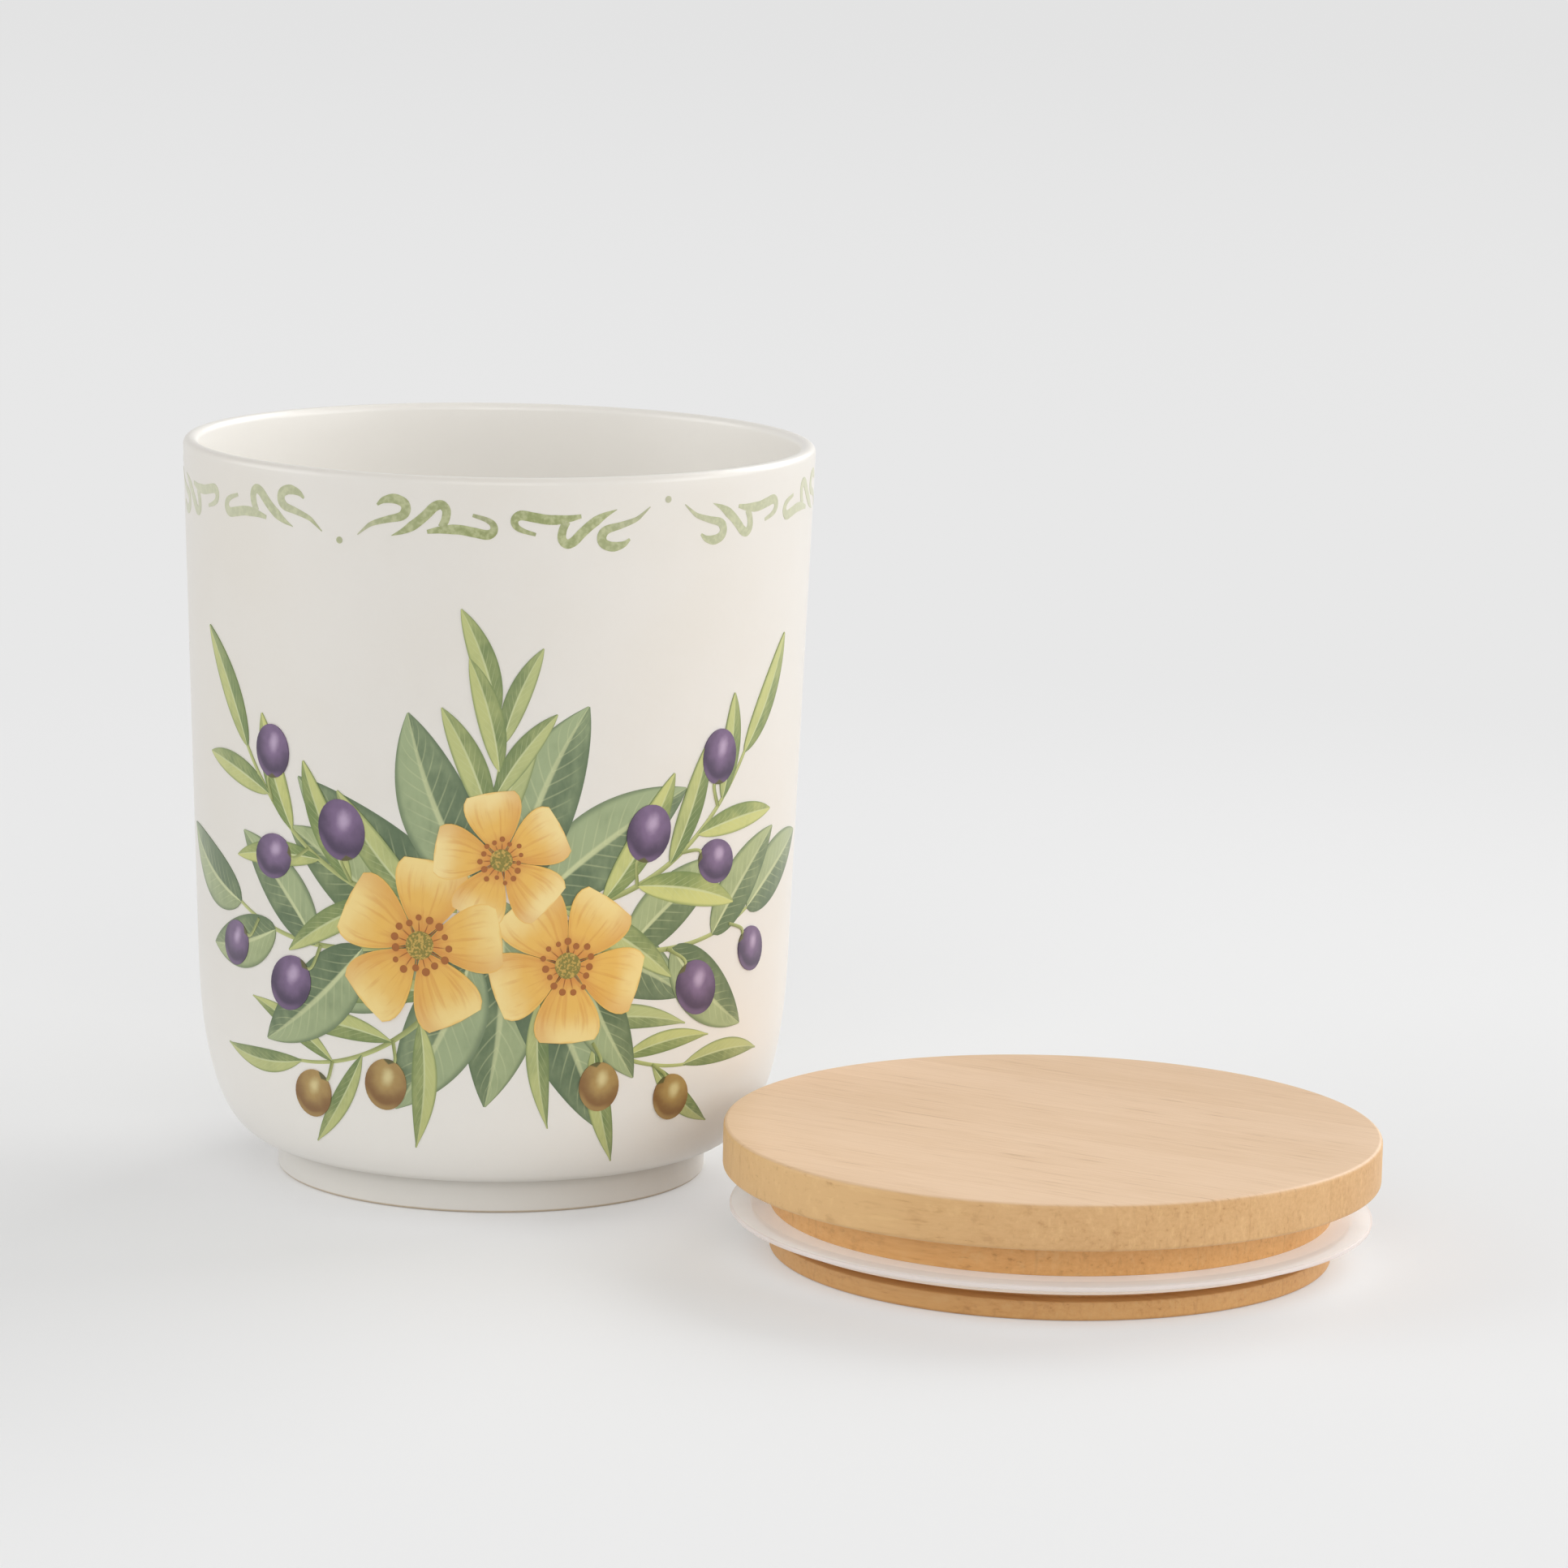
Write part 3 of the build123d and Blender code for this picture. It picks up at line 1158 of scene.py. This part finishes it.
# %% Fruit ink
fruit_light_angle = radians(68)
plum = (shade(76, 60, 86), shade(126, 102, 136), shade(188, 166, 194))
ochre = (shade(134, 98, 56), shade(178, 148, 90), shade(220, 206, 150))
calyx_brown = shade(96, 92, 54)
shine_place = 0.36
shine_flatness = 1.6
glow_ring = (0.72, 0.9)
calyx_edge = (-0.86, -0.78)


def fruit_ink():
    """Dark berries and ochre hips, by their tint."""
    finish, along, across, tint, turn = ink("fruit_ink")
    right = 2 * along - 1
    up = 2 * across - 1
    way = fruit_light_angle - 2 * pi * turn
    towards = right * way.maths("COSINE") + up * way.maths("SINE")
    aside = up * way.maths("COSINE") - right * way.maths("SINE")
    rim = (right * right + up * up).maths("SQRT")
    wash = finish.noise(finish.place(), 0.5, 3.0)
    spot = ((towards - shine_place) ** 2 + shine_flatness * aside * aside).maths("SQRT")
    dark, middle, light = (finish.mix(low, high, tint) for low, high in zip(plum, ochre))
    body = finish.step(0.75 * rim - 0.5 * towards + 0.5 * (wash - 0.5), 0.05, 0.85)
    glow = finish.step(rim, *glow_ring) * finish.step(-1 * towards, 0.35, 0.8)
    shine = 1 - finish.step(spot + 0.25 * (wash - 0.5), 0.06, 0.5)
    calyx = 1 - finish.step(right + 0.5 * up.maths("ABSOLUTE"), *calyx_edge)
    return finish.painted(middle, (dark, body), (middle, glow * 0.6), (light, shine * 0.85),
                          (calyx_brown, calyx))


print("fruit ink is painted with the light from", round(fruit_light_angle * 180 / pi), "degrees")

# %% [markdown]
# The border is one olive green that was printed unevenly: it thins to a warm grey in the tails of
# the strokes. Towards the jar's sides it is painted paler, a painted sheen of the glaze seen at a
# slant there, so it is heaviest over the front and the back.

# %% Border ink
border_green = shade(131, 142, 71)
border_pale = shade(176, 182, 128)
border_grey = shade(180, 173, 160)
border_painted_sheen = shade(216, 216, 192)
most_painted_sheen = 0.9


def border_ink():
    """Olive green that fades to grey along each stroke, with painted sheen towards the jar's sides."""
    finish, _, _, tint, fade = ink("border_ink")
    patch = finish.noise(finish.place(), 0.12)
    grain = finish.noise(finish.place(), 1.2)
    worn = finish.step(0.55 * tint + 0.9 * (patch - 0.5), 0.25, 0.75)
    # Painted sheen: the ink is painted paler towards the jar's sides.
    painted_sheen = finish.step(fade, -0.3, 1.1) * most_painted_sheen
    return finish.painted(border_green, (border_pale, finish.step(grain, 0.35, 0.7)),
                          (border_grey, worn * 0.6), (border_painted_sheen, painted_sheen))


inks = {
    "leaves": leaf_finish,
    "petals": petal_ink(),
    "hearts": heart_ink(),
    "stems": stem_ink(),
    "fruit": fruit_ink(),
    "border": border_ink(),
}
for name, piece in prints.items():
    piece.data.materials.clear()
    piece.data.materials.append(inks[name.split("_")[-1]])
print("printed pieces:", sorted(prints))

# %% [markdown]
# ## Bamboo
#
# A bamboo board is pressed from split strips glued side by side. Along the strips run bundles of
# fibre, a third of a millimetre thick and darker than the pith. On the flat of the board they
# show as short streaks, and on the round edge, where the strips end, as dots and short upright
# ticks. Noise that is stretched along the strips gives the streaks and the dots from one pattern.
# Sanding leaves the flat paler than the edge, where the open fibre ends drink the oil. The upper
# board's edge is painted lighter on the side that faces the jar: painted light. The stopper's edge
# tone is brighter and more orange than the top board's: painted light for the shade under the
# board's overhang. Below its groove the stopper's lip is made darker.

# %% Bamboo
grain_turn = radians(-33)
strip_width = 17.0
first_strip = 0.31
along_stretch = 0.055
bamboo_flat = (shade(236, 202, 166), shade(223, 186, 145))
board_edge = (shade(218, 175, 122), shade(199, 152, 97))
edge_painted_light = shade(223, 183, 127)
# Painted light: the stopper's edge is brighter than the top board's, for the shade under its overhang.
plug_edge_painted_light = (shade(236, 186, 121), shade(217, 161, 95))
fibre_dark = shade(164, 112, 61)
fibre_pale = shade(234, 196, 138)
knot_brown = shade(196, 146, 92)
lip_darker_brown = shade(150, 100, 50)
sanded_depths = (-0.4, -0.05)
jar_side_light_width = 45.0
joint_line = (0.5, 0.488)
darker_lip_line = (groove_low / mm, groove_low / mm + 0.3)
above_the_stopper = plug_high.z / mm + 5.0


def bamboo(name, edge_tones, flat_height, jar_side_light=0.0, lip_darkening=0.0):
    """Bamboo, sanded pale at a height in millimetres, with painted light towards the jar and a darker
    lip.
    """
    finish = Finish(name, {"IOR": 1.46, "Coat Weight": 0.12, "Coat Roughness": 0.3})

    def along_grain(*stretch):
        """The place, turned to the strips and stretched."""
        return finish.place(grain_turn, stretch, lid_axis)

    grain = along_grain(along_stretch, 1, 1)
    _, across, height = finish.axes(along_grain(1, 1, 1))
    drift = finish.noise(grain, 0.35)
    fibre = finish.noise(grain, 1.5, 3.0, 0.62)
    fine = finish.noise(grain, 3.6, 2.0, 0.6)
    strips = (across + 0.6 * drift) * (1 / strip_width) + first_strip
    lane = strips.maths("FLOOR")
    lane_tone = finish.node("ShaderNodeTexWhiteNoise", {"noise_dimensions": "1D"}, {"W": lane})
    patch = finish.noise(along_grain(0.25, 1, 1), 0.09)
    tick = finish.noise(along_grain(along_stretch, 1, 0.28), 1.3, 3.0, 0.65)
    on_flat = finish.step(height, *(flat_height + depth for depth in sanded_depths))
    tone = 0.5 * fibre + 0.35 * patch + 0.16 * lane_tone + 0.15 * fine
    tone = finish.step(tone, 0.34, 0.82)
    jar_side = -1 * finish.axes(finish.place(centre=lid_axis))[0]
    # Painted light: the edge is painted lighter on the side that faces the jar.
    painted_jar_side_light = jar_side_light * finish.step(jar_side, 0.0, jar_side_light_width)
    edge = finish.coats(edge_tones[0], (edge_tones[1], tone), (edge_painted_light, painted_jar_side_light))
    fleck = finish.step(fibre, 0.60, 0.72) * finish.step(patch + 0.3 * fine, 0.50, 0.75)
    pale = finish.step(tick, 0.54, 0.68) * (1 - on_flat)
    deep = finish.step(1 - tick, 0.56, 0.7) * (1 - on_flat)
    joint = 1 - finish.step((strips - lane - 0.5).maths("ABSOLUTE"), *joint_line)
    # The lip below the groove is made darker, by a share.
    darker_lip = lip_darkening * (1 - finish.step(height, *darker_lip_line))
    finish.put("Roughness", 0.46 + 0.16 * fine)
    finish.bump((fibre, 0.05), (fine, 0.02))
    return finish.painted(edge, (finish.mix(*bamboo_flat, tone), on_flat),
                          (fibre_dark, fleck * (0.36 - 0.04 * on_flat)), (fibre_pale, pale * 0.33),
                          (fibre_dark, deep * 0.23), (knot_brown, joint * 0.25), (lip_darker_brown, darker_lip))


board.data.materials.append(bamboo("bamboo_of_the_top", board_edge, board_high.z / mm, jar_side_light=0.9))
plug.data.materials.append(bamboo("bamboo_of_the_stopper", plug_edge_painted_light, above_the_stopper, lip_darkening=0.3))
print("strips are", strip_width, "mm wide")

# %% [markdown]
# ## Silicone
#
# The ring is clear silicone with a little white in it. Light that enters it spreads and leaves
# again all round, which a weak glow of painted light stands for here. That glow is cooler on the
# fin's upper face, which lies in the board's warm shade. The fin is a little see-through. Its rim
# and the ring's lower side are painted darker and warmer: painted shade, with some of the bamboo's
# colour in it.

# %% Silicone
silicone_pale = shade(249, 246, 241)
silicone_dull = shade(243, 239, 233)
silicone_lower_painted_shade = shade(226, 204, 184)
silicone_rim_painted_shade = shade(222, 205, 198)
painted_glow_over = shade(205, 228, 246)
painted_glow_under = shade(203, 202, 198)
fin_foot = (plug_radius + ring_reach) / mm
fin_rim = ring_radius / mm
fin_height = (ring_high.z - fin_thickness) / mm


def silicone():
    """Milky silicone that thins out towards the edge of the fin."""
    finish = Finish("milky_silicone", {"IOR": 1.41, "Emission Strength": 0.2})
    place = finish.place()
    away = finish.length(finish.place(stretch=(1.0, 1.0, 0.0), centre=lid_axis))
    thin = finish.step(away, fin_foot - 0.3, fin_foot + 0.8)
    # Painted shade: the fin's rim is painted darker and warmer.
    rim = finish.step(away, fin_rim - 0.4, fin_rim - 0.1)
    # Painted shade: the ring's lower side, under the fin, is painted darker and warmer.
    low = 1 - finish.step(finish.axes(place)[2], fin_height - 0.3, fin_height)
    cloud = finish.noise(place, 0.09)
    grain = finish.noise(place, 1.6)
    # Painted light: a weak glow, cooler on the fin's upper face than on its rim and lower side.
    finish.put("Emission Color", finish.mix(painted_glow_over, painted_glow_under, rim.maths("MAXIMUM", low)))
    finish.put("Alpha", 1 - 0.25 * thin - 0.15 * rim)
    finish.put("Roughness", 0.36 + 0.2 * grain)
    finish.bump((grain, 0.008))
    return finish.painted(silicone_pale, (silicone_dull, finish.step(cloud, 0.35, 0.7)),
                          (silicone_lower_painted_shade, low * 0.9), (silicone_rim_painted_shade, rim))


ring.data.materials.append(silicone())
print("silicone is on the ring")

# %% [markdown]
# ## The studio
#
# The stage is a pale table that runs on past the horizon. Near the object it is a plain matt
# surface that takes the shadows. Further off it turns into an even pale grey, seen by the camera
# and by reflections, so that the background has no edge.

# %% Stage
stage_size = 16.0
stage_drop = 0.05 * mm
stage_grey = shade(246, 246, 246)
background_grey = (0.807, 0.807, 0.807, 1.0)
background_far = (0.77, 0.77, 0.77, 1.0)
plain_near = 0.34
plain_distances = (220.0, 560.0)
far_distances = (700.0, 3600.0)


def seen_directly(nodes):
    """1 for the camera's rays, reflections and what is seen through glass, 0 for other light."""
    ray = nodes.node("ShaderNodeLightPath", {}, {}, "Is Camera Ray")
    shown = ray.maths("MAXIMUM", ray.part("Is Glossy Ray"))
    return shown.maths("MAXIMUM", ray.part("Is Transmission Ray"))


def table_top():
    """Matt pale grey that turns into the even background at a distance."""
    finish = Finish("table_top", {"Roughness": 0.8, "Specular IOR Level": 0.1, "Base Color": stage_grey})
    away = finish.length(finish.place())
    plain_share = plain_near + (1 - plain_near) * finish.step(away, *plain_distances)
    grey = finish.mix(background_grey, background_far, finish.step(away, *far_distances))
    plain = finish.node("ShaderNodeEmission", {}, {"Color": grey})
    lit = Value(finish, finish.shader.outputs[0])
    terms = {0: plain_share * seen_directly(finish), 1: lit, 2: plain}
    both = finish.node("ShaderNodeMixShader", {}, terms)
    end = finish.tree.nodes["Material Output"]
    finish.tree.links.new(both.socket, end.inputs["Surface"])
    return finish.material


table = added(bpy.ops.mesh.primitive_plane_add, "table", size=stage_size)
with edit_mode():
    bpy.ops.transform.translate(value=(0, 0, -stage_drop))
table.data.materials.append(table_top())
print("table is", stage_size, "m wide")

# %% [markdown]
# The light is soft and comes from four broad panels that stand well back, so that the table is lit
# evenly. The one at the back, on the right, is the strongest: the jar's inner left wall is bright
# and its inner right wall in a warm half shade. An even fill opens the shadows.

# %% Light
middle = (cad_box[0] + cad_box[1]) / 2
fill_strength = 0.44
panel_width = 2.0
panel_height = 1.6


def panel(name, place, power):
    """A soft rectangular lamp that faces the object."""
    way = (middle - Vector(place)).to_track_quat("-Z", "Y").to_euler()
    lamp = added(bpy.ops.object.light_add, name, type="AREA", location=place, rotation=way)
    lamp.data.shape = "RECTANGLE"
    lamp.data.size = panel_width
    lamp.data.size_y = panel_height
    lamp.data.energy = power


def surroundings():
    """Even fill light, and the plain background where it is seen."""
    world = bpy.data.worlds.new("surroundings")
    bpy.context.scene.world = world
    world.use_nodes = True
    strength = fill_strength + (1 - fill_strength) * seen_directly(Nodes(world.node_tree))
    sky = world.node_tree.nodes["Background"]
    sky.inputs["Color"].default_value = background_grey
    world.node_tree.links.new(strength.socket, sky.inputs["Strength"])


surroundings()
panel("right_panel", (2.45, -0.47, 0.94), 25.0)
panel("back_panel", (1.64, 1.54, 1.35), 34.5)
panel("left_panel", (-2.36, -0.05, 1.02), 20.0)
panel("front_panel", (0.05, -2.35, 1.27), 20.5)

# %% [markdown]
# ## Riding on the frame
#
# Every piece stands for a CAD part or rides with one. The jar and its print are one body, and the
# lid's two boards and ring are the other, which can be lifted.

# %% Bodies
for piece, node, body, slot in (
    (jar, "jar_body", "jar", "glazed_jar"),
    (board, "lid_board", "lid", "bamboo_board"),
    (plug, "lid_plug", "lid", "bamboo_plug"),
    (ring, "seal_ring", "lid", "seal"),
):
    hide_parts(node)
    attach(piece, body)
for piece in prints.values():
    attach(piece, "jar")

bpy.context.scene.view_settings.view_transform = "Standard"
